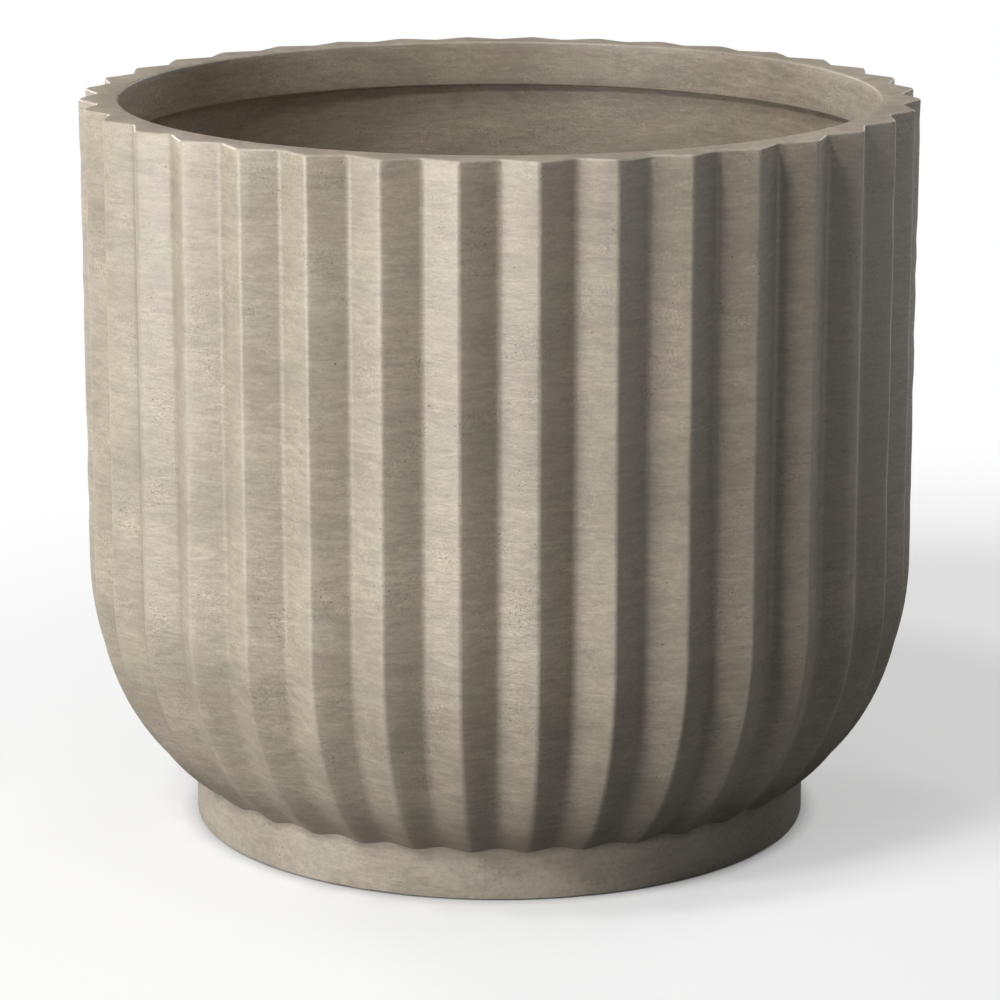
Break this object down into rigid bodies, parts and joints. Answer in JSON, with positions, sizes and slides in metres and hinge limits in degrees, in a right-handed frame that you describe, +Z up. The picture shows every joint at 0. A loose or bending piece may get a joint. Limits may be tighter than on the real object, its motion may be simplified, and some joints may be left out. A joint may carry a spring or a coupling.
{
  "type": "planter",
  "caption": "Round concrete planter with upright zigzag flutes that curve in to a plain round foot, a collar inside the mouth, and a drain hole closed by a rubber plug.",
  "frame": {"origin": "middle of the base, on the surface that the planter stands on", "axes": "+Z up along the pot's axis of turning; -Y towards the front, where a valley between two ridges faces; +X to the right"},
  "size_m": [0.4286, 0.4286, 0.38],
  "materials": {
    "concrete": "matte cast concrete, warm grey-beige, faintly mottled, with small pinholes and paler worn edges",
    "drain_plastic": "matte black moulded plastic",
    "rubber": "matte black rubber"
  },
  "bodies": {
    "planter": {"fluted_shell": "concrete", "rim_collar": "concrete", "foot_ring": "concrete", "drain_sleeve": "drain_plastic", "foot_pad_1": "rubber", "foot_pad_2": "rubber", "foot_pad_3": "rubber", "foot_pad_4": "rubber"},
    "plug": {"drain_plug": "rubber"}
  },
  "joints": [
    {"name": "plug_lift", "type": "slide", "parent": "planter", "child": "plug", "axis": [0, 0, 1], "range_m": [0, 0.38]}
  ]
}
